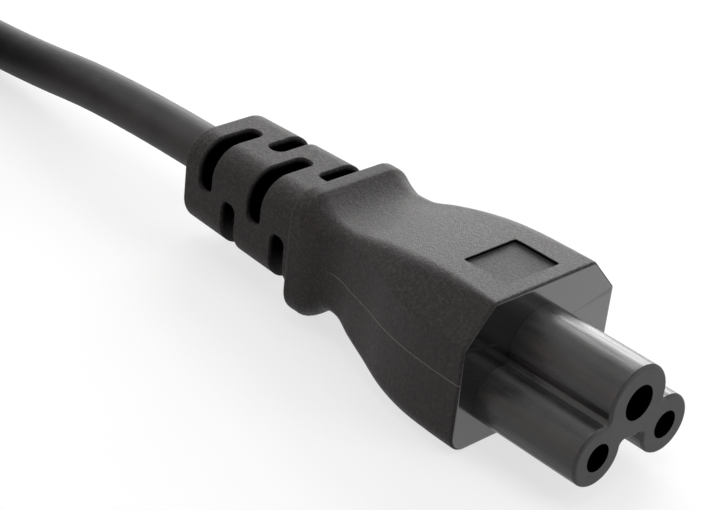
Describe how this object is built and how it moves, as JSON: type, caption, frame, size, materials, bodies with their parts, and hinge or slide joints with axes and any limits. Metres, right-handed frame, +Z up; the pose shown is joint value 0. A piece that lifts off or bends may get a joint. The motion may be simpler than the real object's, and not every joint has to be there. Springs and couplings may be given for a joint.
{
  "type": "cloverleaf power cord",
  "caption": "Black mains lead with a moulded connector whose glossy nose has a cloverleaf section, a slotted strain relief, a round cord put away in a tied hank, and a flat-blade plug.",
  "frame": {"origin": "on the surface that the connector lies on, under the middle of the connector's length and width", "axes": "+X along the connector towards the tip of its nose, +Y towards the neutral contact, +Z up towards the earth contact"},
  "size_m": [0.2523, 0.0585, 0.0258],
  "materials": {
    "overmould": "soft PVC with a fine sparked texture",
    "nose": "hard polished plastic",
    "inner_plastic": "as moulded",
    "contact_metal": "rolled brass strip",
    "earth_core": "extruded insulation, green and yellow",
    "line_core": "extruded insulation, brown",
    "neutral_core": "extruded insulation, blue",
    "copper": "bare stranded copper",
    "sheath": "extruded PVC sheath, slightly satin",
    "tie": "flat plastic-covered wire",
    "blade_metal": "nickel-plated brass"
  },
  "bodies": {
    "root": {"connector_body": "overmould", "nose_insert": "nose", "inner_mould": "inner_plastic", "contact_earth": "contact_metal", "contact_line": "contact_metal", "contact_neutral": "contact_metal", "core_earth": "earth_core", "core_line": "line_core", "core_neutral": "neutral_core", "strands_earth": "copper", "strands_line": "copper", "strands_neutral": "copper", "cord_run": "sheath", "cord_hank": "sheath", "hank_tie": "tie", "cord_tail": "sheath", "plug_body": "overmould", "plug_bridge": "nose", "blade_line": "blade_metal", "blade_neutral": "blade_metal", "pin_earth": "blade_metal"}
  },
  "joints": []
}
